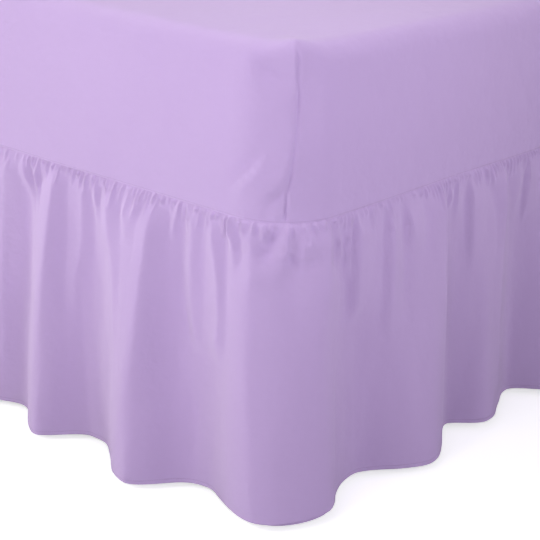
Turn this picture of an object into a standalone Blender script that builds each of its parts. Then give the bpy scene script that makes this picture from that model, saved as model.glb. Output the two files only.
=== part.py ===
import math
from collections import namedtuple

import bmesh
import bpy

# Bed under the cloth, metres. The origin is on the floor under the middle of the bed,
# the foot end faces -Y and the head end +Y.
BED_WIDTH = 0.900
BED_LENGTH = 1.900
CORNER_RADIUS = 0.090
BASE_INSET = 0.012
BASE_BOTTOM = 0.025
BASE_TOP = 0.400
BASE_EDGE_RADIUS = 0.008
BASE_EDGE_SEGMENTS = 2
GLIDE_RADIUS = 0.022
GLIDE_INSET = 0.110
GLIDE_SEGMENTS = 24
MATTRESS_INSET = 0.008
MATTRESS_EDGE_RADIUS = 0.032
MATTRESS_EDGE_SEGMENTS = 4
CORNER_SEGMENTS = 6
SHARP_ANGLE = 40
FIT_GAP = 0.0003

# Cloth
CLOTH = 0.0015
TOP_Z = 0.636
SEAM_Z = 0.405
SHEET_EDGE_Z = SEAM_Z + 0.0006
HEM_Z = 0.010
TUCK_HEIGHT = 0.006
TUCK_OUT = -(CLOTH + 0.0006)

# Fitted sheet. The top's flat rows are reaches in from the seam line, then come the turns of the
# rolled edge in degrees, then the side's rows, each with its reach out and its height.
EDGE_ROLL = 0.030
EAR_REACH = 0.050
EAR_RISE = 0.004
EAR_OUT = 0.004
EAR_OUT_AT_SEAM = 0.0012
EAR_SHARPNESS = 0.9
SHEET_TOP_ROWS = (-0.080, -0.052)
SHEET_ROLL_ANGLES = (90, 65, 40, 18)
SHEET_SIDE_ROWS = ((0.001, 0.590), (0.003, 0.540), (0.003, 0.480), (0.001, 0.430))
CORNER_STEPS = 8
LONG_SIDE_STEPS = 11
SHORT_SIDE_STEPS = 5

# Frill
FLARE = 0.85
TUCK_FADE = 0.05
COLUMNS_PER_FOLD = 12
PLEATS_PER_FOLD = 6
PLEAT_DEPTH = 0.0070
PLEAT_PEAK = 0.13
PLEAT_UNEVENNESS = 0.25
PLEAT_UNEVEN_RATE = 0.7
JOIN_GAP = 0.0006
FRILL_ROWS = (0.0, 0.06, 0.13, 0.22, 0.36, 0.55, 0.77, 1.0)
STRIP_STARTS = (8, 17, 26)

# Folds of the frill. The places are lengths along the seam line from the middle of the foot corner
# on the right, at the seam and at the hem, and the outs are how far the cloth stands out from the
# seam line at the hem. A crest of sharpness 1 is a plain wave, one over 1 is narrower than its
# valleys and one under 1 is broader.
Fold = namedtuple("Fold", "crest_seam crest_hem crest_out sharpness valley_seam valley_hem valley_out")

# Uneven folds round that corner, each with the valley after it
UNEVEN_FOLDS = (
    # crest_seam, crest_hem, crest_out, sharpness, valley_seam, valley_hem, valley_out
    Fold(-0.620, -0.595, 0.062, 0.86, -0.462, -0.475, 0.005),
    Fold(-0.402, -0.386, 0.060, 0.98, -0.350, -0.320, 0.006),
    Fold(-0.246, -0.187, 0.078, 1.27, -0.160, -0.096, 0.008),
    Fold(-0.020, 0.000, 0.072, 1.37, 0.110, 0.151, 0.007),
    Fold(0.270, 0.260, 0.066, 0.80, 0.352, 0.383, 0.008),
    Fold(0.450, 0.439, 0.046, 0.86, 0.530, 0.562, 0.003),
    Fold(0.610, 0.625, 0.057, 0.97, 0.700, 0.720, 0.006),
)
# Plain folds round the rest, where each corner has one broad fold of its own.
CORNER_FOLD_WIDTH = 0.250
PLAIN_DEPTH = 0.078
PLAIN_VALLEY = 0.006
PLAIN_UNEVENNESS = 0.026
PLAIN_UNEVEN_RATE = 1.9
PLAIN_SHARPNESS = 1.1
PLAIN_FOLDS_RIGHT = 5
PLAIN_FOLDS_HEAD = 3
PLAIN_FOLDS_LEFT = 8

# Colours and roughnesses
LILAC_PERCALE = ((0.60, 0.45, 0.72), 0.85)
MATTRESS_TICKING = ((0.80, 0.79, 0.77), 0.90)
BASE_FABRIC = ((0.42, 0.40, 0.38), 0.90)
GLIDE_PLASTIC = ((0.03, 0.03, 0.03), 0.50)

QUARTER_ARC = CORNER_RADIUS * math.pi / 2
LONG_RUN = BED_LENGTH - 2 * CORNER_RADIUS
SHORT_RUN = BED_WIDTH - 2 * CORNER_RADIUS
PERIMETER = 2 * (LONG_RUN + SHORT_RUN) + 4 * QUARTER_ARC


def clear_objects():
    for item in list(bpy.data.objects):
        bpy.data.objects.remove(item, do_unlink=True)


def make_collection(name):
    collection = bpy.data.collections.new(name)
    bpy.context.scene.collection.children.link(collection)
    return collection


def make_material(name, finish):
    color, roughness = finish
    material = bpy.data.materials.new(name)
    material.use_nodes = True
    shader = material.node_tree.nodes["Principled BSDF"]
    shader.inputs["Base Color"].default_value = (*color, 1.0)
    shader.inputs["Roughness"].default_value = roughness
    return material


def add_object(name, mesh, collection, material, parent):
    item = bpy.data.objects.new(name, mesh)
    item.parent = parent
    collection.objects.link(item)
    mesh.materials.append(material)
    return item


def outline(length):
    """Point and outward normal on the seam line, a length round from the right foot corner."""
    corner_x = BED_WIDTH / 2 - CORNER_RADIUS
    corner_y = BED_LENGTH / 2 - CORNER_RADIUS
    turns = (
        (corner_x, -corner_y, -math.pi / 2, LONG_RUN),
        (corner_x, corner_y, 0.0, SHORT_RUN),
        (-corner_x, corner_y, math.pi / 2, LONG_RUN),
        (-corner_x, -corner_y, math.pi, SHORT_RUN),
    )
    rest = (length + QUARTER_ARC / 2) % PERIMETER
    for center_x, center_y, start, run in turns:
        turned = min(rest, QUARTER_ARC) / CORNER_RADIUS
        along = min(max(rest - QUARTER_ARC, 0.0), run)
        normal_x = math.cos(start + turned)
        normal_y = math.sin(start + turned)
        if rest <= QUARTER_ARC + run:
            break
        rest -= QUARTER_ARC + run
    x = center_x + CORNER_RADIUS * normal_x - along * normal_y
    y = center_y + CORNER_RADIUS * normal_y + along * normal_x
    return x, y, normal_x, normal_y


def corner_places():
    """Lengths along the seam line of the middles of the four corners, in turn."""
    long_side = LONG_RUN + QUARTER_ARC
    short_side = SHORT_RUN + QUARTER_ARC
    return 0.0, long_side, long_side + short_side, 2 * long_side + short_side


def offset_point(length, out, height):
    x, y, normal_x, normal_y = outline(length)
    return x + normal_x * out, y + normal_y * out, height


def plain_folds(start, stop, count):
    """A run of folds, alike in width and uneven in depth."""
    pitch = (stop - start) / count
    folds = []
    for index in range(count):
        crest = start + pitch * (index + 0.5)
        depth = PLAIN_DEPTH - PLAIN_UNEVENNESS * abs(math.sin(PLAIN_UNEVEN_RATE * index))
        valley = crest + pitch / 2
        folds.append(Fold(crest, crest, depth, PLAIN_SHARPNESS, valley, valley, PLAIN_VALLEY))
    return folds


def all_folds():
    """The folds in turn round the bed: the uneven ones, then plain ones back to the start."""
    folds = list(UNEVEN_FOLDS)
    place = (folds[-1].valley_seam + folds[-1].valley_hem) / 2
    half_fold = CORNER_FOLD_WIDTH / 2
    counts = (PLAIN_FOLDS_RIGHT, PLAIN_FOLDS_HEAD, PLAIN_FOLDS_LEFT)
    for count, corner in zip(counts, corner_places()[1:]):
        folds += plain_folds(place, corner - half_fold, count)
        folds += plain_folds(corner - half_fold, corner + half_fold, 1)
        place = corner + half_fold
    return folds


def fold_number(folds, number):
    """A fold by its number, which goes on round the bed past both ends of the list."""
    lap, index = divmod(number, len(folds))
    way = lap * PERIMETER
    fold = folds[index]
    return fold._replace(crest_seam=fold.crest_seam + way, crest_hem=fold.crest_hem + way,
                         valley_seam=fold.valley_seam + way, valley_hem=fold.valley_hem + way)


def mix(first, second, share):
    return first + (second - first) * share


def frill_point(folds, phase, drop):
    """Place along the seam line and reach out, at a fold's phase and a share of the drop down."""
    number = math.floor(phase)
    fold = fold_number(folds, number)
    share = 2 * (phase - number)
    if share < 1:
        valley = fold_number(folds, number - 1)
        to_crest = share
    else:
        valley = fold
        to_crest = 2 - share
    valley_place = mix(valley.valley_seam, valley.valley_hem, drop)
    crest_place = mix(fold.crest_seam, fold.crest_hem, drop)
    place = mix(valley_place, crest_place, to_crest)
    rise = ((1 - math.cos(math.pi * to_crest)) / 2) ** fold.sharpness
    wave = mix(valley.valley_out, fold.crest_out, rise) * drop ** FLARE
    swell = drop / PLEAT_PEAK * math.exp(1 - drop / PLEAT_PEAK)
    turn = 2 * math.pi * PLEATS_PER_FOLD * phase
    depth = PLEAT_DEPTH * (1 - PLEAT_UNEVENNESS * (1 - math.sin(PLEAT_UNEVEN_RATE * turn)))
    pleat = depth * (1 - math.cos(turn)) / 2
    tuck = TUCK_OUT * max(0.0, 1 - drop / TUCK_FADE)
    return place, tuck + wave + pleat * swell


def grid_mesh(name, columns, closed, cap_last_row=False):
    """Mesh of a cloth surface from its columns of points, each column running down."""
    mesh = bpy.data.meshes.new(name)
    surface = bmesh.new()
    rows = [[surface.verts.new(point) for point in column] for column in columns]
    pairs = list(zip(rows, rows[1:]))
    if closed:
        pairs.append((rows[-1], rows[0]))
    for left, right in pairs:
        for upper in range(len(left) - 1):
            surface.faces.new((left[upper], left[upper + 1], right[upper + 1], right[upper]))
    if cap_last_row:
        surface.faces.new([column[0] for column in rows])
    surface.to_mesh(mesh)
    surface.free()
    mesh.shade_smooth()
    return mesh


def thicken(item):
    """The drawn surface is the cloth's outer face, and its thickness lies inside it."""
    solidify = item.modifiers.new("cloth thickness", "SOLIDIFY")
    solidify.thickness = CLOTH
    solidify.offset = -1.0


def add_frill_strip(name, first_fold, last_fold, folds, collection, material, parent):
    """One length of the gathered frill, from its tucked-in top edge down to its hem."""
    columns = []
    count = (last_fold - first_fold) * COLUMNS_PER_FOLD
    for index in range(count + 1):
        phase = first_fold + index / COLUMNS_PER_FOLD
        trim = JOIN_GAP / 2 * ((index == 0) - (index == count))
        column = []
        for drop in FRILL_ROWS:
            place, out = frill_point(folds, phase, drop)
            height = SEAM_Z + (HEM_Z - SEAM_Z) * drop
            column.append(offset_point(place + trim, out, height))
        seam_place = frill_point(folds, phase, 0.0)[0]
        column.insert(0, offset_point(seam_place + trim, TUCK_OUT, SEAM_Z + TUCK_HEIGHT))
        columns.append(column)
    strip = add_object(name, grid_mesh(name, columns, False), collection, material, parent)
    thicken(strip)
    return strip


def sheet_section(ear):
    """Reach out and height down one column of the sheet, drawn up where it meets a corner seam."""
    roll_out = -EDGE_ROLL * (1 - EAR_SHARPNESS * ear)
    roll_z = TOP_Z - EDGE_ROLL
    section = [(out, TOP_Z) for out in SHEET_TOP_ROWS]
    for angle in SHEET_ROLL_ANGLES:
        turn = math.radians(angle)
        out = roll_out * (1 - math.cos(turn)) + EAR_OUT * ear
        section.append((out, roll_z + EDGE_ROLL * math.sin(turn) + EAR_RISE * ear * math.sin(turn)))
    for out, height in SHEET_SIDE_ROWS:
        section.append((out + EAR_OUT * ear, height))
    section.append((EAR_OUT_AT_SEAM * ear, SHEET_EDGE_Z))
    return section


def sheet_places():
    """Columns of the sheet: even steps round each corner and along each side."""
    places = []
    sides = ((LONG_RUN, LONG_SIDE_STEPS), (SHORT_RUN, SHORT_SIDE_STEPS)) * 2
    for corner, (run, steps) in zip(corner_places(), sides):
        for index in range(CORNER_STEPS):
            places.append((corner + QUARTER_ARC * (index / CORNER_STEPS - 0.5), corner))
        for index in range(steps):
            places.append((corner + QUARTER_ARC / 2 + run * index / steps, corner))
    return places


def add_fitted_sheet(collection, material, parent):
    columns = []
    for place, corner in sheet_places():
        reach = min(1.0, abs(place - corner) / EAR_REACH)
        ear = math.cos(math.pi / 2 * reach) ** 2
        columns.append([offset_point(place, out, height) for out, height in sheet_section(ear)])
    mesh = grid_mesh("fitted_sheet", columns, True, cap_last_row=True)
    sheet = add_object("fitted_sheet", mesh, collection, material, parent)
    thicken(sheet)
    return sheet


def crosses(edge, height):
    """Whether an edge of a block runs up through a height."""
    return (edge.verts[0].co.z - height) * (edge.verts[1].co.z - height) < 0


def rounded_block(name, inset, bottom, top, edge_radius, edge_segments):
    """Block with the bed's plan, upright corners of its corner radius and softened edges."""
    mesh = bpy.data.meshes.new(name)
    block = bmesh.new()
    bmesh.ops.create_cube(block, size=1.0)
    size = (BED_WIDTH - 2 * inset, BED_LENGTH - 2 * inset, top - bottom)
    bmesh.ops.scale(block, vec=size, verts=block.verts)
    bmesh.ops.translate(block, vec=(0.0, 0.0, (top + bottom) / 2), verts=block.verts)
    middle = (top + bottom) / 2
    upright = [edge for edge in block.edges if crosses(edge, middle)]
    bmesh.ops.bevel(block, geom=upright, offset=CORNER_RADIUS - inset, segments=CORNER_SEGMENTS,
                    profile=0.5, affect="EDGES")
    rims = [edge for edge in block.edges if not crosses(edge, middle)]
    bmesh.ops.bevel(block, geom=rims, offset=edge_radius, segments=edge_segments, profile=0.5,
                    affect="EDGES")
    block.to_mesh(mesh)
    block.free()
    mesh.shade_smooth()
    mesh.set_sharp_from_angle(angle=math.radians(SHARP_ANGLE))
    return mesh


def add_glides(collection, material, parent):
    """Four round glides, one under each corner of the base."""
    height = BASE_BOTTOM - FIT_GAP
    mesh = bpy.data.meshes.new("glide")
    disc = bmesh.new()
    bmesh.ops.create_cone(disc, cap_ends=True, segments=GLIDE_SEGMENTS, radius1=GLIDE_RADIUS,
                          radius2=GLIDE_RADIUS, depth=height)
    disc.to_mesh(mesh)
    disc.free()
    mesh.materials.append(material)
    for side_x, name_x in ((1, "right"), (-1, "left")):
        for side_y, name_y in ((-1, "foot"), (1, "head")):
            glide = bpy.data.objects.new(f"glide_{name_x}_{name_y}", mesh)
            glide.location = (side_x * (BED_WIDTH / 2 - GLIDE_INSET),
                              side_y * (BED_LENGTH / 2 - GLIDE_INSET), height / 2)
            glide.parent = parent
            collection.objects.link(glide)


def main():
    clear_objects()
    collection = make_collection("bed_skirt")
    cloth = make_material("lilac_percale", LILAC_PERCALE)
    ticking = make_material("mattress_ticking", MATTRESS_TICKING)
    upholstery = make_material("base_fabric", BASE_FABRIC)
    plastic = make_material("glide_plastic", GLIDE_PLASTIC)
    root = bpy.data.objects.new("bed", None)
    collection.objects.link(root)

    base = rounded_block("divan_base", BASE_INSET, BASE_BOTTOM, BASE_TOP, BASE_EDGE_RADIUS,
                         BASE_EDGE_SEGMENTS)
    add_object("divan_base", base, collection, upholstery, root)
    add_glides(collection, plastic, root)
    mattress = rounded_block("mattress", MATTRESS_INSET, BASE_TOP + FIT_GAP,
                             TOP_Z - CLOTH - FIT_GAP, MATTRESS_EDGE_RADIUS,
                             MATTRESS_EDGE_SEGMENTS)
    add_object("mattress", mattress, collection, ticking, root)
    add_fitted_sheet(collection, cloth, root)
    folds = all_folds()
    ends = STRIP_STARTS[1:] + (STRIP_STARTS[0] + len(folds),)
    for number, (first, last) in enumerate(zip(STRIP_STARTS, ends), start=1):
        add_frill_strip(f"frill_strip_{number}", first, last, folds, collection, cloth, root)


main()
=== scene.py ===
import math
import bmesh
import bpy
import numpy as np
from mathutils import Matrix, Vector


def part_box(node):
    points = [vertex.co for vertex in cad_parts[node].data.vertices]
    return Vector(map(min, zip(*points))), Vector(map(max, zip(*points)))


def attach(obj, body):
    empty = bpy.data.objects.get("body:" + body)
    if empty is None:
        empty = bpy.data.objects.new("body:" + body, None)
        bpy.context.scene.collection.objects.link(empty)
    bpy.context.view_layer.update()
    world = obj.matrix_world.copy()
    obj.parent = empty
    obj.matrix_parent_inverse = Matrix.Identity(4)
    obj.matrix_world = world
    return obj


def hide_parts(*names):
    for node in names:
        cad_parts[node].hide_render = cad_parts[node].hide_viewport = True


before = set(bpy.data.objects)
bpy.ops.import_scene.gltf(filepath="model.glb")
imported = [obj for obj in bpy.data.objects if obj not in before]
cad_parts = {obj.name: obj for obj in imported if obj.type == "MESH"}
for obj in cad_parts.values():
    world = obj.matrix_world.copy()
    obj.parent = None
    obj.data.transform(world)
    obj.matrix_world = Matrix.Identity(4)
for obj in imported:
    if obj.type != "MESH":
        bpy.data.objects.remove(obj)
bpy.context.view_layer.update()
print("frame loaded:", len(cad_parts), "nodes")

# sizes and plan shared by every piece
bed = {
    "width": 0.900,
    "length": 1.900,
    "cornerRadius": 0.090,
    "topHeight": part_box("fitted_sheet")[1][2] - 0.004,   # the sheet's flat top, below its corner ears
    "seamHeight": 0.405,
    "hemHeight": 0.010,
}
cornerX = bed["width"] / 2 - bed["cornerRadius"]    # the corner circles' centres
cornerY = bed["length"] / 2 - bed["cornerRadius"]
quarterArc = bed["cornerRadius"] * math.pi / 2
longRun, shortRun = 2 * cornerY, 2 * cornerX
perimeter = 2 * (longRun + shortRun) + 4 * quarterArc
cornerPlaces = (0.0, longRun + quarterArc, longRun + shortRun + 2 * quarterArc,
                2 * longRun + shortRun + 3 * quarterArc)
dropLength = bed["seamHeight"] - bed["hemHeight"]


def seamLine(along):
    # point and outward normal on the seam line, measured round from the right foot corner's middle
    radius = bed["cornerRadius"]
    turns = ((cornerX, -cornerY, -90, longRun), (cornerX, cornerY, 0, shortRun),
             (-cornerX, cornerY, 90, longRun), (-cornerX, -cornerY, 180, shortRun))
    rest = np.mod(np.asarray(along, float) + quarterArc / 2, perimeter)
    x, y, normalX, normalY = (np.zeros(rest.shape) for _ in range(4))
    found = np.zeros(rest.shape, bool)
    for centerX, centerY, start, run in turns:
        here = ~found & (rest <= quarterArc + run)
        angle = math.radians(start) + np.clip(rest, 0, quarterArc) / radius
        ahead = np.clip(rest - quarterArc, 0, run)
        normalX = np.where(here, np.cos(angle), normalX)
        normalY = np.where(here, np.sin(angle), normalY)
        x = np.where(here, centerX + radius * np.cos(angle) - ahead * np.sin(angle), x)
        y = np.where(here, centerY + radius * np.sin(angle) + ahead * np.cos(angle), y)
        found |= here
        rest = rest - quarterArc - run
    return x, y, normalX, normalY


def roundWay(gap):
    # the short way round the bed between two places on the seam line
    return np.mod(gap + perimeter / 2, perimeter) - perimeter / 2


def smooth(low, high, value):
    share = np.clip((value - low) / (high - low), 0, 1)
    return share * share * (3 - 2 * share)


def mix(first, second, share):
    return first + (second - first) * share


def bell(gap, width):
    return np.exp(-0.5 * (gap / width) ** 2)


def crease(along, down, stroke):
    # one soft ridge or trough, drawn between two places on the cloth
    *sizes, fadeIn, fadeOut = stroke
    startAlong, startDown, endAlong, endDown, bow, width, height = (size / 1000 for size in sizes)
    runAlong, runDown = endAlong - startAlong, endDown - startDown
    length = math.hypot(runAlong, runDown)
    fromAlong = roundWay(along - startAlong)
    fromDown = down - startDown
    share = (fromAlong * runAlong + fromDown * runDown) / length ** 2
    bent = bow * 4 * np.clip(share, 0, 1) * (1 - np.clip(share, 0, 1))
    across = (fromAlong * runDown - fromDown * runAlong) / length - bent
    ends = smooth(-fadeIn, fadeIn, share) * (1 - smooth(1 - fadeOut, 1 + fadeOut / 2, share))
    widening = width * (0.8 + 0.6 * np.clip(share, 0, 1))
    return height * ends * bell(across, widening)


def drawCreases(along, down, strokes, reach=0.09):
    total = np.zeros(along.shape)
    for stroke in strokes:
        start, end = stroke[0] / 1000, stroke[2] / 1000
        near = np.abs(roundWay(along - (start + end) / 2)) < abs(end - start) / 2 + reach
        if near.any():
            total[near] += crease(along[near], down[near], stroke)
    return total


def pinch(along, left, crest, right, height, crestSoft=0.15, footSoft=0.06):
    # a gather's section: up from its left crease to its crest and down to its right foot
    rising = roundWay(along - left) / (crest - left)
    falling = roundWay(right - along) / (right - crest)
    lower = (rising + falling - np.sqrt((rising - falling) ** 2 + crestSoft ** 2)) / 2
    return height * (lower + np.sqrt(lower ** 2 + footSoft ** 2)) / 2


def slack(along, down, seed, waves, lengthAlong, lengthDown, height):
    # gentle unevenness of hanging cloth: long waves that close on themselves round the bed
    draw = np.random.default_rng(seed)
    total = np.zeros(along.shape)
    for _ in range(waves):
        turns = max(1, round(perimeter / (lengthAlong * draw.uniform(0.6, 1.8))))
        rate = 1 / (lengthDown * draw.uniform(0.7, 1.7)) * draw.choice((-1, 1))
        total += np.cos(2 * np.pi * (turns * along / perimeter + rate * down + draw.uniform()))
    return height * total / math.sqrt(waves)


def addToScene(name, data):
    item = bpy.data.objects.new(name, data)
    bpy.context.scene.collection.objects.link(item)
    return item


def writeCut(mesh, places):
    # where each point lies on the flat cloth, which the weave and the stitches follow
    cut = mesh.attributes.new("cut", "FLOAT_VECTOR", "POINT")
    cut.data.foreach_set("vector", np.asarray(places, np.float32).ravel())


def clothPiece(name, rows, places, closed, capped=False):
    # mesh of a cloth from rows of points, whose columns may double or halve between rows
    starts = np.cumsum([0] + [len(row) for row in rows])
    faces = []
    if capped:
        faces = [list(range(starts[1])), list(range(starts[-1] - 1, starts[-2] - 1, -1))]
    for upper, lower, top, bottom in zip(rows, rows[1:], starts, starts[1:]):
        upperSteps, lowerSteps = (len(row) - (not closed) for row in (upper, lower))
        step = min(upperSteps, lowerSteps)
        upperTimes, lowerTimes = upperSteps // step, lowerSteps // step
        for column in range(step):
            ring = [top + (column * upperTimes + k) % len(upper) for k in range(upperTimes + 1)]
            edge = [bottom + (column * lowerTimes + k) % len(lower) for k in range(lowerTimes + 1)]
            faces.append([ring[0]] + edge + ring[:0:-1])
    mesh = bpy.data.meshes.new(name)
    mesh.from_pydata(np.concatenate(rows).tolist(), [], faces)
    writeCut(mesh, np.concatenate(places))
    return addToScene(name, mesh)


def cutPlaces(along, down):
    return np.stack([along, down, np.zeros(along.shape)], axis=-1)


def standOut(along, out, height):
    x, y, normalX, normalY = seamLine(along)
    return np.stack([x + normalX * out, y + normalY * out, height + np.zeros(along.shape)], axis=-1)


def thicken(piece, thickness):
    solid = piece.modifiers.new("clothThickness", "SOLIDIFY")
    solid.thickness = thickness
    solid.offset = -1
    piece.data.shade_smooth()


# the gathered frill, in three lengths
frill = {
    "cloth": 0.0009,
    "flare": 0.85,             # how the folds open from the seam down to the hem
    "fullness": 1.35,          # cloth gathered into each metre of seam
    "tuck": -0.0014,           # the gathered edge stands behind the sheet's edge
    "tuckDepth": 0.010,
    "fineColumns": 128,        # columns in each fold under the seam, halved lower down
    "edgeRows": (-0.005, -0.002, 0.0004, 0.0016, 0.0028),
    "fineStart": 0.0042,
    "fineDepth": 0.040,
    "fineStep": 0.0025,
    "lowStep": 0.0085,
    "lowMargins": (0.004, 0.006),  # below the fine rows and above the hem
    "hemRows": (1.5, 1.2, 1.0, 0.8, 0.4, 0.0),     # up from the edge, in hem depths
    "hemDepth": 0.0055,
    "hemRise": 0.0006,
    "hemEdge": 0.0008,
    "stitchWidth": 0.0006,
    "stitchDip": 0.8,
    "hemTurn": 0.016,          # cloth turned up twice inside the hem
    "slack": {"seed": 5, "waves": 14, "lengthAlong": 0.060, "lengthDown": 0.300, "height": 0.0008},
    "slackOnset": 0.10,
    "stripStarts": (8, 17, 26),
    "joinGap": 0.0006,
}
hemTop = dropLength - frill["hemDepth"]
# a row for each uneven fold: its crest at the seam and at the hem, how far out, its sharpness, then
# the next valley at the seam and at the hem, and how far out
unevenFolds = (
    (-0.620, -0.595, 0.062, 0.86, -0.462, -0.475, 0.005),
    (-0.402, -0.386, 0.060, 0.98, -0.350, -0.320, 0.006),
    (-0.246, -0.187, 0.078, 1.27, -0.160, -0.096, 0.008),
    (-0.020, 0.000, 0.072, 1.37, 0.110, 0.151, 0.007),
    (0.270, 0.260, 0.066, 0.80, 0.352, 0.383, 0.008),
    (0.450, 0.439, 0.046, 0.86, 0.530, 0.562, 0.003),
    (0.610, 0.625, 0.057, 0.97, 0.700, 0.720, 0.006),
)
plainFold = {
    "counts": (5, 3, 8),       # on the right long side, the head end and the left long side
    "cornerWidth": 0.250,
    "depth": 0.078,
    "unevenness": 0.026,
    "unevenRate": 1.9,
    "valley": 0.006,
    "sharpness": 1.1,
}
plainGather = {
    "seed": 11,
    "pitch": 0.034,
    "width": (0.5, 1.5),
    "least": 0.012,
    "crests": ((0.25, 0.42), (0.55, 0.75)),    # left or right of the middle
    "height": (0.26, 0.40),
    "lengths": (0.06, 0.10, 0.17, 0.26),
    "stretch": (0.8, 1.25),
    "lean": 0.10,
    "spread": 0.25,
    "onset": 0.003,
    "lifts": ((0.3, 1.0), (0.65, 0.7), (1.0, 0.0)),
}
pucker = {
    "seed": 12,
    "pitch": 0.0074,
    "unevenness": 0.33,
    "crest": (0.30, 0.70),
    "height": (0.32, 0.70),
    "lengths": (0.010, 0.016, 0.030),
    "stretch": (0.8, 1.3),
    "lean": 0.12,
}
# gathers drawn round the right foot corner, in millimetres. Each has a row for each of a few
# distances below the seam: that distance, then its left crease, its crest and its right foot along the
# seam there, and its height
gathers = (
    ((3, -540, -504, -456, 6), (30, -545, -500, -452, 14), (120, -548, -497, -450, 18),
     (260, -548, -496, -452, 16), (330, -550, -500, -460, 8), (390, -550, -504, -462, 0)),
    ((3, -486, -475, -463, 6), (30, -475, -462, -451, 6), (60, -457, -444, -437, 4),
     (85, -451, -437, -429, 0)),
    ((3, -459, -449, -438, 8), (30, -449, -438, -431, 8), (55, -440, -431, -425, 4),
     (75, -435, -428, -421, 0)),
    ((3, -420, -402, -380, 8), (30, -428, -397, -375, 11), (80, -455, -394, -371, 13),
     (160, -458, -394, -364, 12), (260, -460, -394, -358, 7), (390, -464, -396, -345, 2)),
    ((3, -379, -347, -333, 8), (40, -379, -343, -325, 10), (100, -377, -342, -320, 10),
     (160, -371, -348, -322, 6), (215, -360, -346, -324, 0)),
    ((3, -333, -320, -312, 7), (30, -331, -319, -311, 8), (55, -327, -314, -307, 4),
     (70, -325, -312, -304, 0)),
    ((3, -312, -298, -270, 9), (40, -314, -290, -264, 11), (75, -325, -282, -257, 10),
     (105, -320, -266, -250, 8), (150, -308, -256, -244, 6), (190, -302, -251, -240, 4),
     (240, -296, -246, -236, 0)),
    ((90, -395, -354, -306, 0), (150, -395, -352, -302, 6), (220, -395, -350, -298, 8),
     (300, -395, -350, -304, 5), (390, -395, -352, -312, 0)),
    ((3, -268, -258, -246, 6), (35, -267, -256, -244, 7), (60, -264, -254, -242, 0)),
    ((3, -242, -230, -224, 6), (30, -252, -238, -226, 6), (50, -259, -245, -230, 4),
     (70, -262, -248, -232, 0)),
    ((3, -229, -210, -182, 9), (50, -229, -203, -178, 10), (120, -226, -202, -174, 8),
     (200, -220, -198, -170, 4), (290, -215, -194, -168, 0)),
    ((3, -266, -220, -182, 3), (50, -268, -198, -158, 10), (100, -265, -195, -156, 12),
     (160, -261, -194, -155, 12), (240, -256, -190, -152, 8), (390, -250, -183, -145, 4)),
    ((3, -181, -172, -162, 6), (35, -179, -170, -160, 6), (60, -177, -170, -158, 0)),
    ((3, -151, -139, -118, 8), (30, -153, -136, -113, 9), (80, -154, -136, -112, 10),
     (120, -150, -133, -112, 9), (155, -145, -129, -112, 7), (180, -138, -123, -110, 4),
     (202, -134, -120, -106, 0)),
    ((3, -120, -108, -90, 8), (40, -119, -97, -80, 10), (75, -118, -85, -72, 10),
     (110, -116, -78, -67, 8), (135, -116, -76, -64, 0)),
    ((100, -128, -78, -62, 0), (130, -126, -73, -60, 8), (168, -134, -74, -60, 11),
     (184, -140, -80, -60, 8), (202, -144, -86, -60, 0)),
    ((3, -83, -73, -64, 8), (30, -75, -65, -55, 8), (55, -70, -60, -52, 4), (70, -68, -58, -50, 0)),
    ((3, -56, -44, -32, 8), (30, -54, -38, -26, 11), (65, -50, -34, -20, 9), (95, -50, -32, -16, 0)),
    ((40, -72, -40, 4, 0), (80, -70, -36, 10, 11), (120, -66, -32, 20, 14), (200, -63, -28, 30, 16),
     (280, -62, -24, 32, 16), (390, -60, -18, 34, 14)),
    ((3, -34, -27, -20, 5), (20, -35, -27, -18, 5), (30, -34, -26, -16, 0)),
    ((3, -4, 4, 16, 8), (30, -6, 2, 14, 10), (50, -13, -4, 10, 8), (66, -26, -14, 4, 5),
     (82, -34, -20, 0, 0)),
    ((3, 12, 24, 40, 6), (28, 8, 21, 40, 8), (45, 6, 20, 40, 7), (64, 6, 20, 40, 0)),
    ((3, 36, 62, 90, 9), (30, 14, 56, 90, 14), (75, 8, 54, 92, 14), (110, 6, 51, 96, 12),
     (160, 6, 47, 90, 10), (280, 8, 46, 80, 8), (390, 10, 47, 76, 8)),
    ((3, 106, 112, 120, 7), (30, 99, 105, 113, 9), (55, 97, 103, 111, 10), (75, 101, 107, 114, 8),
     (95, 103, 109, 116, 0)),
    ((3, 120, 132, 182, 9), (40, 110, 121, 184, 14), (100, 109, 121, 184, 14), (135, 111, 124, 184, 11),
     (160, 114, 130, 182, 0)),
    ((3, 188, 195, 222, 9), (40, 184, 190, 222, 13), (100, 182, 188, 222, 12), (150, 180, 188, 224, 7),
     (190, 180, 190, 228, 0)),
    ((3, 228, 236, 275, 9), (40, 226, 232, 278, 12), (55, 227, 234, 282, 11), (80, 230, 240, 286, 0)),
    ((3, 276, 318, 340, 9), (40, 274, 318, 340, 15), (85, 268, 318, 342, 15), (200, 240, 318, 346, 10),
     (310, 232, 318, 348, 5), (390, 230, 318, 350, 0)),
    ((3, 341, 346, 358, 7), (28, 340, 345, 358, 7), (46, 340, 345, 358, 0)),
    ((3, 360, 365, 384, 6), (40, 358, 364, 384, 5), (75, 358, 365, 384, 0)),
    ((3, 394, 400, 440, 9), (40, 388, 394, 456, 12), (75, 390, 398, 466, 10), (120, 394, 404, 468, 5),
     (160, 396, 408, 470, 0)),
    ((3, 432, 474, 500, 9), (30, 446, 476, 504, 15), (60, 460, 480, 512, 15), (90, 468, 486, 520, 10),
     (160, 462, 492, 528, 5), (260, 460, 494, 530, 0)),
    ((3, 508, 536, 554, 6), (40, 506, 532, 552, 8), (70, 504, 530, 550, 6), (95, 504, 530, 550, 0)),
    ((3, 556, 561, 590, 8), (40, 553, 558, 592, 9), (80, 550, 556, 592, 6), (110, 550, 556, 590, 0)),
)
drawnFrom, drawnTo = -0.512, 0.592      # the stretch of seam with gathers drawn one by one
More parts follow.
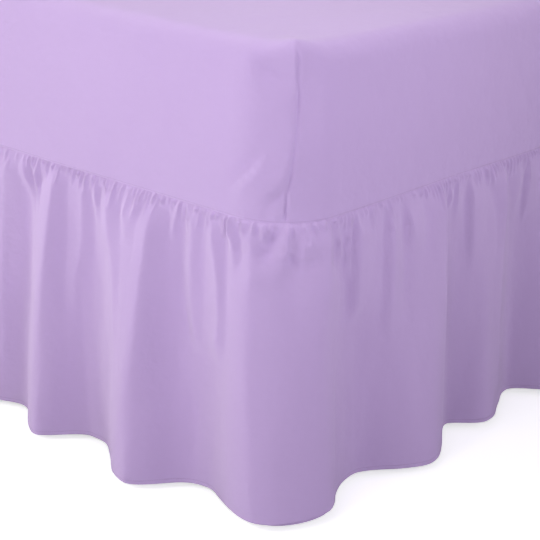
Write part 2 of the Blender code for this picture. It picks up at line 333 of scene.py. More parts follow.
# soft creases just under the right foot corner, in millimetres: where each starts along and down, where
# it ends, its bow, width and height, then the shares of its length over which it fades in and out
frillCreases = (
    (3, 2, -8, 44, 0, 3.2, 5.9, 0.15, 0.15), (-8, 40, -35, 73, 0, 3.8, 6.2, 0.2, 0.35),
    (-12, 10, -22, 50, 0, 6, -4.3, 0.2, 0.3), (-76, 1, -71, 28, 0, 2, 5.7, 0.1, 0.4),
    (-56, 1, -52, 20, 0, 1.8, 5.1, 0.1, 0.4), (-41, 1, -38, 16, 0, 1.8, 4.6, 0.1, 0.4),
    (-30, 2, -24, 18, 0, 2, 5.1, 0.1, 0.4), (-18, 1, -15, 12, 0, 1.6, 4.1, 0.1, 0.4),
    (10, 1, 16, 18, 0, 1.8, 3.5, 0.1, 0.4), (24, 1, 34, 26, 0, 2.2, 3.8, 0.1, 0.4),
    (40, 1, 44, 14, 0, 1.8, 3.5, 0.1, 0.4), (4, 40, 46, 48, -9, 4.5, -5.1, 0.2, 0.3),
    (72, 10, 74, 68, 0, 7, -6.2, 0.2, 0.2), (86, 30, 90, 60, 0, 3, 4.6, 0.2, 0.3),
)


def allFolds():
    folds = [list(row) for row in unevenFolds]
    place = (folds[-1][4] + folds[-1][5]) / 2
    half = plainFold["cornerWidth"] / 2
    for count, corner in zip(plainFold["counts"], cornerPlaces[1:]):
        for start, stop, number in ((place, corner - half, count), (corner - half, corner + half, 1)):
            pitch = (stop - start) / number
            for index in range(number):
                crest = start + pitch * (index + 0.5)
                shallower = abs(math.sin(plainFold["unevenRate"] * index))
                depth = plainFold["depth"] - plainFold["unevenness"] * shallower
                valley = crest + pitch / 2
                folds.append([crest, crest, depth, plainFold["sharpness"], valley, valley,
                              plainFold["valley"]])
        place = corner + half
    return np.array(folds)


def foldWave(folds, phase, drop):
    # place along the seam line and reach out, for each row's drop and each column's phase
    number = np.floor(phase).astype(int)
    lap, index = np.divmod(number, len(folds))
    beforeLap, beforeIndex = np.divmod(number - 1, len(folds))
    share = 2 * (phase - number)
    rising = share < 1
    toCrest = np.where(rising, share, 2 - share)
    valleyIndex = np.where(rising, beforeIndex, index)
    valleyLap = np.where(rising, beforeLap, lap) * perimeter
    fold, valley = folds[index], folds[valleyIndex]
    crestPlace = mix(fold[:, 0], fold[:, 1], drop) + lap * perimeter
    valleyPlace = mix(valley[:, 4], valley[:, 5], drop) + valleyLap
    along = mix(valleyPlace, crestPlace, toCrest)
    rise = ((1 - np.cos(np.pi * toCrest)) / 2) ** fold[:, 3]
    out = mix(valley[:, 6], fold[:, 2], rise) * np.clip(drop, 0, 1) ** frill["flare"]
    return along, out


def plainGathers():
    # gathers round the rest of the bed, uneven in width, lean, length and height
    rule = plainGather
    draw = np.random.default_rng(rule["seed"])
    made = []
    left, end = drawnTo, perimeter + drawnFrom
    while left < end - rule["least"]:
        width = min(rule["pitch"] * draw.uniform(*rule["width"]), end - left)
        crest = left + width * draw.choice([draw.uniform(*span) for span in rule["crests"]])
        height = width * draw.uniform(*rule["height"])
        length = draw.choice(rule["lengths"]) * draw.uniform(*rule["stretch"])
        lean = draw.uniform(-rule["lean"], rule["lean"]) * length
        spread = width * draw.uniform(0.0, rule["spread"])
        rows = []
        for share, lift in ((rule["onset"] / length, 0.6), *rule["lifts"]):
            shift = lean * share
            rows.append((share * length, left + shift - spread * share, crest + shift,
                         left + width + shift + spread * share, height * lift))
        made.append(rows)
        left += width
    return made


def gatherAt(along, down, gather):
    # the gather's section where it crosses one row of the frill
    downs, *columns = np.transpose(gather)
    if down > downs[-1] or down < 0:
        return 0.0
    left, crest, right, height = (np.interp(down, downs, column) for column in columns)
    onset = float(smooth(0.0, downs[1], down + 0.002))
    return pinch(along, left, crest, right, height * onset)


def makePuckers():
    # the small pinches of the gathering stitch, just under the seam
    draw = np.random.default_rng(pucker["seed"])
    count = int(perimeter / pucker["pitch"])
    shifts = draw.uniform(-pucker["unevenness"], pucker["unevenness"], count)
    edges = (np.arange(count) + shifts) * perimeter / count
    puckers = []
    for left, right in zip(edges, np.append(edges[1:], edges[0] + perimeter)):
        crest = mix(left, right, draw.uniform(*pucker["crest"]))
        height = (right - left) * draw.uniform(*pucker["height"])
        length = draw.choice(pucker["lengths"]) * draw.uniform(*pucker["stretch"])
        slant = draw.uniform(-pucker["lean"], pucker["lean"])
        lifts = ((0.0, 0.75), (0.005, 1.0), (0.5 * length, 0.8), (length, 0.0))
        puckers.append([(down, left + slant * down, crest + slant * down, right + slant * down,
                         height * lift) for down, lift in lifts])
    return puckers


def frillRows():
    # distances below the seam, in two lots: fine ones under it, then wide ones with the hem's
    fine = np.arange(frill["fineStart"], frill["fineDepth"], frill["fineStep"])
    above, below = frill["lowMargins"]
    low = np.arange(frill["fineDepth"] + above, hemTop - below, frill["lowStep"])
    hem = dropLength - frill["hemDepth"] * np.array(frill["hemRows"])
    return np.concatenate([frill["edgeRows"], fine]), np.concatenate([low, hem])


def makeFrillStrip(number, firstFold, lastFold, folds, pinches):
    fineRows, lowRows = frillRows()
    rows, places = [], []
    for distances, columns in ((fineRows, frill["fineColumns"]), (lowRows, frill["fineColumns"] // 2)):
        phase = firstFold + np.arange((lastFold - firstFold) * columns + 1) / columns
        for distance in distances:
            down = np.full(phase.shape, float(distance))
            along, out = foldWave(folds, phase, np.clip(down / dropLength, 0, 1))
            along[0] += frill["joinGap"] / 2
            along[-1] -= frill["joinGap"] / 2
            for gather in pinches:
                out += gatherAt(along, distance, gather)
            out += drawCreases(along, down, frillCreases)
            out += slack(along, down, **frill["slack"]) * smooth(0.0, frill["slackOnset"], down)
            stitched = frill["stitchDip"] * bell(down - hemTop, frill["stitchWidth"])
            out += frill["hemRise"] * (smooth(hemTop - frill["hemEdge"], hemTop, down) - stitched)
            out += frill["tuck"] * (1 - smooth(0.0, frill["tuckDepth"], down))
            rows.append(standOut(along, out, bed["seamHeight"] - down))
            places.append(cutPlaces(along * frill["fullness"], down))
    piece = clothPiece(f"frill_length_{number}", rows, places, closed=False)
    thicken(piece, frill["cloth"])
    return piece


# the fitted sheet
sheet = {
    "cloth": 0.0009,
    "steps": {"short": 30, "long": 72, "corner": 12},   # columns on top; they double towards the edge
    "cornerEvenness": 0.45,    # 1 would space a corner's columns evenly
    "ringRow": -0.060,         # round the flat middle of the top
    "topRows": (-0.044, -0.030, -0.018, -0.008),
    "sectionRows": 0.0095,
    "edgeMargin": 0.020,
    "edgeRows": (0.014, 0.009, 0.0055, 0.003, 0.0013, 0.0),    # up from the lower edge
    "roll": 0.030,
    "swell": 0.003,
    "swellLength": 0.20,
    "earReach": (0.050, 0.062),    # on the bed's short side and on its long side
    "earSharpness": 1.7,
    "earFill": 0.9,            # how much of the rolled edge the ear fills out
    "earRise": 0.0072,
    "earOut": 0.0045,
    "earFade": (0.035, 0.100),
    "seamPoint": 0.0048,       # the mitred seam stands out along the corner
    "seamReach": (0.075, 0.026),
    "seamSharpness": 1.5,
    "seamOnset": 0.040,
    "seamFade": (0.070, 0.004),    # up from the lower edge, as the groove's too
    "seamWidth": 0.0017,
    "seamDepth": 0.0036,
    "grooveFade": (0.008, 0.001),
    "seamDrift": 0.009,        # how far the seam bows to the long side in its upper half
    "driftOnset": (0.2, 0.08),     # the share of it at the top's edge, and how far down it is whole
    "driftFade": (0.10, 0.235),
    "slack": {"seed": 21, "waves": 12, "lengthAlong": 0.30, "lengthDown": 0.40, "height": 0.0007},
    "edgeGap": 0.0006,         # between the sheet's lower edge and the frill's seam line
    "edgeTurn": 0.0005,
    "edgeTurnDepth": 0.004,
    "stitchRise": 0.0020,
    "sideDrop": 0.240,         # cut below the top's edge on each side
}
edgePinch = {"seed": 77, "pitch": 0.0115, "unevenness": 0.3, "height": 0.0006, "lifts": (0.2, 1.2),
             "lengths": (0.008, 0.022), "edge": 0.002, "width": 0.0028, "reach": 0.010}
# how far the sheet's section runs from the top's edge to its own lower edge
sheetSection = (sheet["roll"] * (math.pi / 2 - 1) + bed["topHeight"] - bed["seamHeight"]
                - sheet["edgeGap"])
# creases by the right foot corner's seam, given like the frill's, but down the section
sheetCreases = (
    (-40, 46, 4, 64, 0, 11, -10.5, 0.4, 0.35), (14, 50, 16, 130, 0, 12, -9.5, 0.25, 0.5),
    (-12, 37, 4, 34, 0, 2.2, 1.8, 0.3, 0.1), (-36, 160, -80, 204, 2, 4.4, -6.4, 0.25, 0.4),
    (-24, 170, -72, 216, 0, 5, 4.8, 0.25, 0.4), (-3, 176, -42, 218, 3, 4.2, 5.2, 0.1, 0.4),
    (-2, 206, -30, 236, 0, 4.4, -6.8, 0.1, 0.35), (-2, 223, -22, 242, 0, 3.6, 3.4, 0.1, 0.35),
    (6, 190, 56, 232, 0, 8.5, -4.6, 0.15, 0.4), (90, 229, 175, 219, 0, 5.5, -2.2, 0.3, 0.4),
    (2, 122, -20, 124, 0, 2.4, 1.8, 0.1, 0.6), (1, 140, -24, 143, 0, 2.4, 2, 0.1, 0.6),
    (0, 160, -24, 168, 0, 2.6, 2.2, 0.1, 0.6), (4, 74, 28, 77, 0, 2.4, 1.6, 0.1, 0.6),
    (3, 98, 32, 102, 0, 2.4, 1.6, 0.1, 0.6), (1, 126, 36, 130, 0, 2.6, 1.8, 0.1, 0.6),
)


def otherCornerCreases():
    # the other corners pull into the same few folds, turned about and a little different
    strokes = []
    for corner, flip, share in zip(cornerPlaces[1:], (-1, 1, -1), (0.9, 1.1, 0.8)):
        middle = 1000 * corner
        for start, startDown, end, endDown, bow, width, height, *fades in sheetCreases:
            strokes.append((middle + flip * start, startDown, middle + flip * end, endDown,
                            flip * bow, width, height * share, *fades))
    return strokes


def sheetColumns(times):
    # places round the seam line, closer together at each corner's seam
    steps = sheet["steps"]
    columns = []
    evenness = sheet["cornerEvenness"]
    counts = (steps["long"], steps["short"]) * 2
    for corner, run, count in zip(cornerPlaces, (longRun, shortRun) * 2, counts):
        turn = np.arange(steps["corner"] * times) / (steps["corner"] * times) * 2 - 1
        columns.append(corner + quarterArc / 2 * (evenness * turn + (1 - evenness) * turn ** 3))
        columns.append(corner + quarterArc / 2 + run * np.arange(count * times) / (count * times))
    return np.concatenate(columns)


def seamGap(along, drift):
    # how far from the nearest corner's seam, positive towards the bed's long side
    gaps = np.array([turn * roundWay(along - corner - turn * drift)
                     for corner, turn in zip(cornerPlaces, (1, -1, 1, -1))])
    nearest = np.argmin(np.abs(gaps), axis=0)
    return np.take_along_axis(gaps, nearest[None], axis=0)[0]


def nearSeam(gap, reaches, sharpness):
    # 1 at the corner's seam, falling to 0 at its reach on each side
    reach = np.where(gap > 0, reaches[1], reaches[0])
    return (1 - np.clip(np.abs(gap) / reach, 0, 1)) ** sharpness


def aboveEdge(fade, down):
    # 1 down to the first distance above the sheet's lower edge, and 0 from the second
    return 1 - smooth(sheetSection - fade[0], sheetSection - fade[1], down)


def sheetPoint(along, down):
    # from the flat top (down below 0) over the rolled edge and down the side to the lower edge
    least, depth = sheet["driftOnset"]
    drift = (least + (1 - least) * smooth(0.0, depth, down)) * (1 - smooth(*sheet["driftFade"], down))
    gap = seamGap(along, sheet["seamDrift"] * drift)
    ear = nearSeam(gap, sheet["earReach"], sheet["earSharpness"])
    roll = sheet["roll"]
    turn = np.clip(down / roll, 0, np.pi / 2)
    below = np.maximum(down - roll * np.pi / 2, 0)
    out = np.minimum(down, 0) - roll * (1 - sheet["earFill"] * ear) * (1 - np.sin(turn))
    height = bed["topHeight"] - roll * (1 - np.cos(turn)) - below
    height += sheet["earRise"] * ear * np.cos(turn) * smooth(-0.05, 0, down)
    out += sheet["earOut"] * ear * smooth(0.0, 0.02, down) * (1 - smooth(*sheet["earFade"], down))
    out += sheet["swell"] * np.sin(np.pi * np.clip(below / sheet["swellLength"], 0, 1))
    onset = smooth(0.0, sheet["seamOnset"], down)
    point = nearSeam(gap, sheet["seamReach"], sheet["seamSharpness"])
    out += sheet["seamPoint"] * point * onset * aboveEdge(sheet["seamFade"], down)
    groove = bell(gap, sheet["seamWidth"]) * aboveEdge(sheet["grooveFade"], down)
    out -= sheet["seamDepth"] * groove * onset
    return out, height


def edgePinches(along, down):
    # faint pinches above the frill's seam
    total = np.zeros(along.shape)
    if down[0] < sheetSection - edgePinch["lengths"][1]:
        return total
    draw = np.random.default_rng(edgePinch["seed"])
    count = int(perimeter / edgePinch["pitch"])
    for index in range(count):
        shift = draw.uniform(-edgePinch["unevenness"], edgePinch["unevenness"])
        height = edgePinch["height"] * draw.uniform(*edgePinch["lifts"])
        top = sheetSection - draw.uniform(*edgePinch["lengths"])
        gap = roundWay(along - (index + shift) * perimeter / count)
        near = np.abs(gap) < edgePinch["reach"]
        rise = smooth(top, sheetSection - edgePinch["edge"], down[near])
        total[near] += height * rise * bell(gap[near], edgePinch["width"])
    return total


def makeSheetTop(piece):
    # the flat middle of the top, inside the ring of the corner circles' centres
    steps = sheet["steps"]
    across = np.linspace(-cornerX, cornerX, steps["short"] + 1)
    lengthways = np.linspace(-cornerY, cornerY, steps["long"] + 1)
    points = [(x, y, bed["topHeight"]) for y in lengthways for x in across]
    wide = steps["short"] + 1
    corners = [row * wide + column for row in range(steps["long"]) for column in range(steps["short"])]
    faces = [(corner, corner + 1, corner + wide + 1, corner + wide) for corner in corners]
    middle = bpy.data.meshes.new("sheetMiddle")
    middle.from_pydata(points, [], faces)
    writeCut(middle, points)
    joined = bmesh.new()
    joined.from_mesh(piece.data)
    joined.from_mesh(middle)
    bmesh.ops.remove_doubles(joined, verts=joined.verts, dist=0.0001)
    joined.to_mesh(piece.data)
    joined.free()
    bpy.data.meshes.remove(middle)


def makeFittedSheet():
    rollEnd = sheet["roll"] * math.pi / 2
    side = np.arange(rollEnd, sheetSection - sheet["edgeMargin"], sheet["sectionRows"])
    bands = (
        (1, (sheet["ringRow"],)),
        (2, sheet["topRows"]),
        (4, np.concatenate([np.linspace(0, rollEnd, 8)[:-1], side])),
        (8, sheetSection - np.array(sheet["edgeRows"])),
    )
    strokes = (*sheetCreases, *otherCornerCreases())
    rows, places = [], []
    for times, distances in bands:
        along = sheetColumns(times)
        for distance in distances:
            down = np.full(along.shape, float(distance))
            if distance == sheet["ringRow"]:
                # round the corner circles' centres, where the flat middle is joined on
                out, height = np.full(along.shape, -bed["cornerRadius"]), bed["topHeight"] + 0 * down
            else:
                out, height = sheetPoint(along, down)
            out += drawCreases(along, down, strokes) * smooth(0.0, 0.02, down)
            out += slack(along, down, **sheet["slack"]) * smooth(0.02, 0.08, down)
            out += edgePinches(along, down)
            out -= sheet["edgeTurn"] * (1 - aboveEdge((sheet["edgeTurnDepth"], 0), down)) ** 2
            rows.append(standOut(along, out, height))
            places.append(cutPlaces(along, down))
    piece = clothPiece("fitted_sheet_cloth", rows, places, closed=True)
    makeSheetTop(piece)
    thicken(piece, sheet["cloth"])
    return piece


# the padded mattress
mattress = {
    "gap": 0.0012,             # inside its solid's sides, so the sheet stays clear of it
    "endGaps": (0.0008, 0.0006),   # inside its solid at the top and at the bottom
    "faceInset": 0.050,
    "roll": 0.030,
    "tape": 0.0030,            # how far the edge tapes stand out
    "tapeWidth": 0.010,
    "tapeRise": 0.020,         # the lower tape's foot above the bottom
    "border": 0.0035,          # how far the border swells between its rows of quilting
    "quiltRows": 3,
    "quiltSharpness": 0.7,
    "columns": 240,
    "fill": 0.9,
}


def makeMattress():
    low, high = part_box("mattress")
    side = high.x - bed["width"] / 2 - mattress["gap"]       # from the seam line in to the side
    top, bottom = high.z - mattress["endGaps"][0], low.z + mattress["endGaps"][1]
    roll, face = mattress["roll"], side - mattress["faceInset"]
    tape, tapeWidth = mattress["tape"], mattress["tapeWidth"]
    section = [(face, top)]
    for angle in np.radians(np.linspace(90, 0, 8)):
        out = side - tape - roll * (1 - math.cos(angle))
        section.append((out, top - roll + roll * math.sin(angle)))
    upperTape, lowerTape = top - roll - 0.004, bottom + mattress["tapeRise"]
    half = tapeWidth / 2
    for height in (upperTape, upperTape - half, upperTape - tapeWidth):
        section.append((side - tape * abs(height - upperTape + half) / half, height))
    borderTop, borderBottom = upperTape - tapeWidth - 0.002, lowerTape + tapeWidth + 0.002
    for share in np.linspace(0, 1, 8 * mattress["quiltRows"] + 1):
        swell = abs(math.sin(math.pi * share * mattress["quiltRows"])) ** mattress["quiltSharpness"]
        out = side - tape - mattress["border"] * (1 - swell)
        section.append((out, mix(borderTop, borderBottom, share)))
    for height in (lowerTape + tapeWidth, lowerTape + half, lowerTape):
        section.append((side - tape * abs(height - lowerTape - half) / half, height))
    section += [(side - 0.006, bottom + 0.006), (side - 0.014, bottom), (face, bottom)]
    along = np.arange(mattress["columns"]) * perimeter / mattress["columns"]
    rows = [standOut(along, out, height) for out, height in section]
    places = [cutPlaces(along, np.full(along.shape, float(height))) for _, height in section]
    piece = clothPiece("mattress_padded", rows, places, closed=True, capped=True)
    piece.data.shade_smooth()
    return piece


# shader groups
def newGroup(name, numbers, outputs):
    # takes a place and some numbers, and gives numbers
    group = bpy.data.node_groups.new(name, "ShaderNodeTree")
    newSocket = group.interface.new_socket
    newSocket("Place", in_out="INPUT", socket_type="NodeSocketVector")
    for label, value in numbers.items():
        newSocket(label, in_out="INPUT", socket_type="NodeSocketFloat").default_value = value
    for label in outputs:
        newSocket(label, in_out="OUTPUT", socket_type="NodeSocketFloat")
    return group, group.nodes.new("NodeGroupInput"), group.nodes.new("NodeGroupOutput")


def calc(tree, operation, *values, clamp=False):
    # one Math node; a value is a number or another node's output
    node = tree.nodes.new("ShaderNodeMath")
    node.operation = operation
    node.use_clamp = clamp
    for socket, value in zip(node.inputs, values):
        if isinstance(value, bpy.types.NodeSocket):
            tree.links.new(value, socket)
        else:
            socket.default_value = value
    return node.outputs[0]


def setInputs(node, values):
    for label, value in values.items():
        node.inputs[label].default_value = value


def noise(tree, place, scale, detail, roughness):
    node = tree.nodes.new("ShaderNodeTexNoise")
    setInputs(node, {"Scale": scale, "Detail": detail, "Roughness": roughness})
    tree.links.new(place, node.inputs["Vector"])
    return node.outputs["Fac"]


def axes(tree, place):
    split = tree.nodes.new("ShaderNodeSeparateXYZ")
    tree.links.new(place, split.inputs[0])
    return split.outputs["X"], split.outputs["Y"]


def fromMiddle(tree, value, pitch):
    # how far a place is from the middle of its repeat, from 0 to 0.5
    share = calc(tree, "FRACT", calc(tree, "DIVIDE", value, pitch))
    return calc(tree, "ABSOLUTE", calc(tree, "SUBTRACT", share, 0.5))


shading = {
    "slubStretch": (900.0, 12.0),      # noise to the metre across a thread and along it
    "threadShare": 0.36,       # half of a stitch that is thread, the rest being the hole
    "dentWidth": 0.0018,
    "washScales": (5.0, 60.0),
    "washShares": (0.7, 0.3),
}


def makeWeaveGroup():
    # plain weave: threads that go over and under, thicker and thinner along their length
    group, start, end = newGroup("plainWeave", {"Pitch": 0.0004, "Slub": 0.3}, ("Height", "Slub Tone"))
    waves = []
    for axis in axes(group, start.outputs["Place"]):
        count = calc(group, "DIVIDE", axis, start.outputs["Pitch"])
        waves.append(calc(group, "SINE", calc(group, "MULTIPLY", count, math.pi)))
    crossing = calc(group, "MULTIPLY_ADD", calc(group, "MULTIPLY", *waves), 0.5, 0.5)
    tones = []
    for stretch in (shading["slubStretch"], shading["slubStretch"][::-1]):
        mapping = group.nodes.new("ShaderNodeMapping")
        mapping.inputs["Scale"].default_value = (*stretch, 1.0)
        group.links.new(start.outputs["Place"], mapping.inputs["Vector"])
        tones.append(noise(group, mapping.outputs["Vector"], 1.0, 2.0, 0.5))
    slub = calc(group, "MULTIPLY", calc(group, "ADD", *tones), 0.5)
    height = calc(group, "MULTIPLY_ADD", slub, start.outputs["Slub"], crossing)
    group.links.new(height, end.inputs["Height"])
    group.links.new(slub, end.inputs["Slub Tone"])
    return group


def makeStitchGroup():
    # a row of stitches at one distance down the cloth
    group, start, end = newGroup(
        "stitchRow", {"Row": 0.0, "Stitch": 0.0025, "Width": 0.0006}, ("Mask", "Dent"))
    along, down = axes(group, start.outputs["Place"])
    off = calc(group, "ABSOLUTE", calc(group, "SUBTRACT", down, start.outputs["Row"]))
    near = calc(group, "SUBTRACT", 1.0, calc(group, "DIVIDE", off, start.outputs["Width"]), clamp=True)
    middle = fromMiddle(group, along, start.outputs["Stitch"])
    thread = calc(group, "LESS_THAN", middle, shading["threadShare"])
    group.links.new(calc(group, "MULTIPLY", near, thread), end.inputs["Mask"])
    dent = calc(group, "SUBTRACT", 1.0, calc(group, "DIVIDE", off, shading["dentWidth"]), clamp=True)
    group.links.new(dent, end.inputs["Dent"])
    return group


def makeWashGroup():
    # faint unevenness of dyed cloth that has been washed and pressed
    group, start, end = newGroup("washedTone", {"Strength": 0.03}, ("Tone", "Softness"))
    parts = []
    for scale, share, roughness in zip(shading["washScales"], shading["washShares"], (0.55, 0.6)):
        spots = noise(group, start.outputs["Place"], scale, 3.0, roughness)
        parts.append(calc(group, "MULTIPLY", spots, share))
    both = calc(group, "ADD", *parts)
    spread = calc(group, "SUBTRACT", both, 0.5)
    tone = calc(group, "MULTIPLY_ADD", spread, start.outputs["Strength"], 1.0)
    group.links.new(tone, end.inputs["Tone"])
    group.links.new(both, end.inputs["Softness"])
    return group


def placeGroup(tree, group, place, **values):
    node = tree.nodes.new("ShaderNodeGroup")
    node.node_tree = group
    tree.links.new(place, node.inputs["Place"])
    setInputs(node, values)
    return node


def newMaterial(name):
    material = bpy.data.materials.new(name)
    material.use_nodes = True
    return material, material.node_tree, material.node_tree.nodes["Principled BSDF"]


def cutPlace(tree):
    node = tree.nodes.new("ShaderNodeAttribute")
    node.attribute_name = "cut"
    return node.outputs["Vector"]


def objectPlace(tree):
    return tree.nodes.new("ShaderNodeTexCoord").outputs["Object"]


def startCloth(name, look, placeOf, weave, wash):
    material, tree, shader = newMaterial(name)
    setInputs(shader, look["shader"])
    place = placeOf(tree)
    thread = placeGroup(tree, weave, place, **look["thread"])
    washed = placeGroup(tree, wash, place, Strength=look["toneStrength"])
    return material, tree, shader, place, thread.outputs, washed.outputs


def slubShade(tree, thread, strength):
    return calc(tree, "MULTIPLY_ADD", thread["Slub Tone"], strength, 1.0 - strength / 2)


def addBump(tree, shader, height, distance, strength, under=None):
    bump = tree.nodes.new("ShaderNodeBump")
    setInputs(bump, {"Distance": distance, "Strength": strength})
    tree.links.new(height, bump.inputs["Height"])
    if under is not None:
        tree.links.new(under, bump.inputs["Normal"])
    tree.links.new(bump.outputs["Normal"], shader.inputs["Normal"])
    return bump.outputs["Normal"]


def paint(tree, shader, colour, tone):
    # the base colour, made lighter or darker by a value near 1
    node = tree.nodes.new("ShaderNodeVectorMath")
    node.operation = "SCALE"
    node.inputs[0].default_value = colour
    tree.links.new(tone, node.inputs["Scale"])
    tree.links.new(node.outputs["Vector"], shader.inputs["Base Color"])


percale = {
    "colour": (0.513, 0.393, 0.600),
    "shader": {"Diffuse Roughness": 1.0, "Sheen Weight": 0.05, "Sheen Roughness": 0.50,
               "Specular IOR Level": 0.12},
    "thread": {"Pitch": 0.00036, "Slub": 0.35},
    "stitch": {"Stitch": 0.0026, "Width": 0.0007},
    "roughness": 0.75,
    "roughnessSpread": 0.10,
    "toneStrength": 0.05,
    "slubTone": 0.03,
    "weaveDepth": 0.00003,
    "crumpleScale": 24.0,      # faint unevenness left by washing and packing, to the metre
    "crumpleDepth": 0.0040,
    "stitchDepth": 0.0003,
    # how much the stitch rows are darkened: painted shade, a shadow line along each stitched seam
    "stitchPaintedShade": 0.20,
}


def makePercale(name, stitchRow, weave, stitches, wash):
    material, tree, shader, place, thread, washed = startCloth(name, percale, cutPlace, weave, wash)
    sewn = placeGroup(tree, stitches, place, Row=stitchRow, **percale["stitch"])
    # the stitches are darkened with painted shade, which stands in for the shadow line along the seam
    shade = calc(tree, "MULTIPLY_ADD", sewn.outputs["Mask"], -percale["stitchPaintedShade"], 1.0)
    slub = slubShade(tree, thread, percale["slubTone"])
    tone = calc(tree, "MULTIPLY", calc(tree, "MULTIPLY", washed["Tone"], slub), shade)
    paint(tree, shader, percale["colour"], tone)
    softness = calc(tree, "MULTIPLY", washed["Softness"], percale["roughnessSpread"])
    tree.links.new(calc(tree, "ADD", softness, percale["roughness"]), shader.inputs["Roughness"])
    # the crumple runs on over the cut's edges, so it lies by the object's own coordinates
    crumple = noise(tree, objectPlace(tree), percale["crumpleScale"], 3.0, 0.55)
    uneven = addBump(tree, shader, crumple, percale["crumpleDepth"], 0.8)
    woven = addBump(tree, shader, thread["Height"], percale["weaveDepth"], 0.6, under=uneven)
    dent = calc(tree, "MULTIPLY", sewn.outputs["Dent"], -1.0)
    addBump(tree, shader, dent, percale["stitchDepth"], 0.7, under=woven)
    return material


ticking = {
    "colour": (0.78, 0.77, 0.74),
    "shader": {"Roughness": 0.85},
    "thread": {"Pitch": 0.0008, "Slub": 0.5},
    "toneStrength": 0.06,
    "stripePitch": 0.018,
    "stripeShare": 0.09,
    "stripeShade": 0.28,
    "weaveDepth": 0.00008,
}


def makeTicking(weave, wash):
    # off-white ticking with narrow grey stripes
    material, tree, shader, place, thread, washed = startCloth(
        "mattressTicking", ticking, cutPlace, weave, wash)
    middle = fromMiddle(tree, axes(tree, place)[0], ticking["stripePitch"])
    line = calc(tree, "LESS_THAN", middle, ticking["stripeShare"])
    shade = calc(tree, "MULTIPLY_ADD", line, -ticking["stripeShade"], 1.0)
    paint(tree, shader, ticking["colour"], calc(tree, "MULTIPLY", washed["Tone"], shade))
    addBump(tree, shader, thread["Height"], ticking["weaveDepth"], 0.6)
    return material


baseFabric = {
    "colour": (0.145, 0.138, 0.130),
    "shader": {"Roughness": 0.92},
    "thread": {"Pitch": 0.0012, "Slub": 0.8},
    "toneStrength": 0.12,
    "slubTone": 0.3,
    "weaveDepth": 0.00015,
}


def makeBaseFabric(weave, wash):
    # the divan base's plain woven cover
    material, tree, shader, _, thread, washed = startCloth(
        "divanBaseFabric", baseFabric, objectPlace, weave, wash)
    slub = slubShade(tree, thread, baseFabric["slubTone"])
    paint(tree, shader, baseFabric["colour"], calc(tree, "MULTIPLY", washed["Tone"], slub))
    addBump(tree, shader, thread["Height"], baseFabric["weaveDepth"], 0.7)
    return material


glidePlastic = {
    "colour": (0.025, 0.025, 0.027),
    "toneStrength": 0.3,
    "roughness": 0.30,
    "roughnessSpread": 0.3,
    "grainScale": 900.0,
    "grainDepth": 0.00005,
}


def makeGlidePlastic(wash):
    # black moulded plastic, a little scuffed
    material, tree, shader = newMaterial("glidePlastic")
    place = objectPlace(tree)
    washed = placeGroup(tree, wash, place, Strength=glidePlastic["toneStrength"])
    paint(tree, shader, glidePlastic["colour"], washed.outputs["Tone"])
    rough = calc(tree, "MULTIPLY_ADD", washed.outputs["Softness"], glidePlastic["roughnessSpread"],
                 glidePlastic["roughness"])
    tree.links.new(rough, shader.inputs["Roughness"])
    addBump(tree, shader, noise(tree, place, glidePlastic["grainScale"], 2.0, 0.5),
            glidePlastic["grainDepth"], 0.5)
    return material


# putting the bed together
weave, stitches, wash = makeWeaveGroup(), makeStitchGroup(), makeWashGroup()
frillPercale = makePercale("lilacPercaleFrill", hemTop, weave, stitches, wash)
sheetStitches = sheetSection - sheet["stitchRise"]
sheetPercale = makePercale("lilacPercaleSheet", sheetStitches, weave, stitches, wash)

folds = allFolds()
pinches = [np.array(gather) / 1000 for gather in gathers] + plainGathers() + makePuckers()
starts = frill["stripStarts"]
for number, (first, last) in enumerate(zip(starts, starts[1:] + (starts[0] + len(folds),)), start=1):
    strip = makeFrillStrip(number, first, last, folds, pinches)
    strip.data.materials.append(frillPercale)
    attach(strip, "root")
    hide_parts(f"frill_strip_{number}")

sheetPiece = makeFittedSheet()
sheetPiece.data.materials.append(sheetPercale)
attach(sheetPiece, "root")
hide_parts("fitted_sheet")
print("fitted sheet made")

mattressPiece = makeMattress()
mattressPiece.data.materials.append(makeTicking(weave, wash))
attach(mattressPiece, "root")
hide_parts("mattress")
print("mattress made")

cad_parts["divan_base"].material_slots[0].material = makeBaseFabric(weave, wash)
scuffedPlastic = makeGlidePlastic(wash)
for name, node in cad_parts.items():
    if name.startswith("glide_"):
        node.material_slots[0].material = scuffedPlastic
print("base and glides painted")

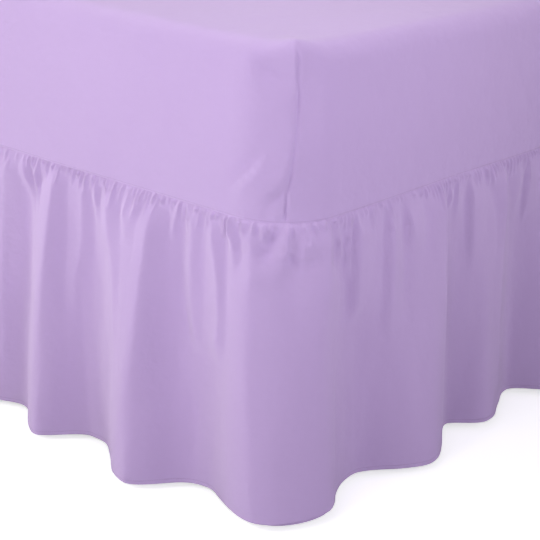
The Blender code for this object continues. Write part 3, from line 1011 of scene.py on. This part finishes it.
# floor, lights and camera
studio = {
    "floorColour": (0.92, 0.92, 0.92),
    "floorShader": {"Roughness": 0.9, "Specular IOR Level": 0.1, "Emission Color": (1, 1, 1, 1)},
    "floorTone": 0.01,
    "floorBounce": 0.2,
    "floorGlow": 0.60,
    "floorRadius": 30.0,
    "worldBackground": {"Color": (1.0, 0.90, 1.0, 1.0), "Strength": 0.05},
    "aim": (0.15, -0.75),
    "fillTint": (0.98, 0.92, 1.13),      # light that has come off the lilac cloth round about
    # name, place, height aimed at, size, spread in degrees, watts, tinted as fill or not
    "lights": (
        ("keyLight", (-0.69, -2.66, 1.32), 0.35, 1.0, 180, 9.2, False),
        ("frontLight", (0.28, -2.98, 1.84), 0.35, 0.5, 180, 11.6, False),
        ("cornerLight", (0.82, -3.05, 1.65), 0.35, 0.5, 180, 5.4, False),
        ("sideLight", (-1.82, -1.43, 0.83), 0.35, 1.4, 180, 4.7, False),
        ("nearFill", (1.65, -3.10, 1.10), 0.35, 0.8, 180, 6.0, True),
        ("rightFill", (2.60, -2.15, 1.10), 0.35, 0.8, 180, 11.0, True),
        ("farFill", (3.30, -3.00, 1.10), 0.35, 0.8, 180, 8.0, True),
        ("rightLight", (2.52, -1.43, 0.83), 0.35, 1.4, 180, 5.5, True),
        ("frontBeam", (-0.60, -2.89, 0.83), 0.80, 1.4, 70, 4.0, False),
        ("footBeam", (-1.80, -1.43, 0.83), 0.80, 1.4, 70, 7.8, False),
        ("rightBeam", (2.90, -3.40, 1.30), 0.75, 0.8, 50, 1.9, True),
        ("nearBeam", (1.60, -2.90, 1.50), 0.80, 0.8, 60, 0.7, True),
        ("longSideBeam", (2.00, -0.20, 1.50), 0.75, 1.0, 60, 2.5, False),
        ("backLight", (-2.40, 2.60, 0.75), 0.35, 1.0, 180, 45.0, False),
    ),
}
view = {"place": (1.605, -2.413, 1.019), "heading": 38.92, "tilt": 70.4, "roll": 2.74, "lens": 104.2}


def makeFloor():
    # pale to the eye, and darker to the light that would bounce back up under the frill
    material, tree, shader = newMaterial("palePaperFloor")
    washed = placeGroup(tree, wash, objectPlace(tree), Strength=studio["floorTone"])
    path = tree.nodes.new("ShaderNodeLightPath")
    seen = calc(tree, "MULTIPLY_ADD", path.outputs["Is Camera Ray"], 1.0 - studio["floorBounce"],
                studio["floorBounce"])
    paint(tree, shader, studio["floorColour"], calc(tree, "MULTIPLY", washed.outputs["Tone"], seen))
    setInputs(shader, studio["floorShader"])
    glow = calc(tree, "MULTIPLY", path.outputs["Is Camera Ray"], studio["floorGlow"])
    tree.links.new(glow, shader.inputs["Emission Strength"])
    mesh = bpy.data.meshes.new("floor")
    disc = bmesh.new()
    bmesh.ops.create_circle(disc, cap_ends=True, segments=96, radius=studio["floorRadius"])
    disc.to_mesh(mesh)
    disc.free()
    mesh.materials.append(material)
    addToScene("floor", mesh)


def makeLights():
    for name, place, aimHeight, size, spread, watts, isFill in studio["lights"]:
        data = bpy.data.lights.new(name, "AREA")
        data.size = size
        data.spread = math.radians(spread)
        data.energy = watts
        if isFill:
            data.color = studio["fillTint"]
        aim = (*studio["aim"], aimHeight)
        light = addToScene(name, data)
        light.location = place
        light.rotation_euler = (Vector(aim) - Vector(place)).to_track_quat("-Z", "Y").to_euler()
    world = bpy.data.worlds.new("paleStudio")
    world.use_nodes = True
    setInputs(world.node_tree.nodes["Background"], studio["worldBackground"])
    bpy.context.scene.world = world


def makeCamera():
    data = bpy.data.cameras.new("camera")
    data.lens = view["lens"]
    camera = addToScene("camera", data)
    camera.location = view["place"]
    turn = (Matrix.Rotation(math.radians(view["heading"]), 3, "Z")
            @ Matrix.Rotation(math.radians(view["tilt"]), 3, "X")
            @ Matrix.Rotation(math.radians(view["roll"]), 3, "Z"))
    camera.rotation_euler = turn.to_euler()
    bpy.context.scene.camera = camera


makeFloor()
makeLights()
makeCamera()
bpy.context.scene.view_settings.view_transform = "Standard"
print("studio ready")
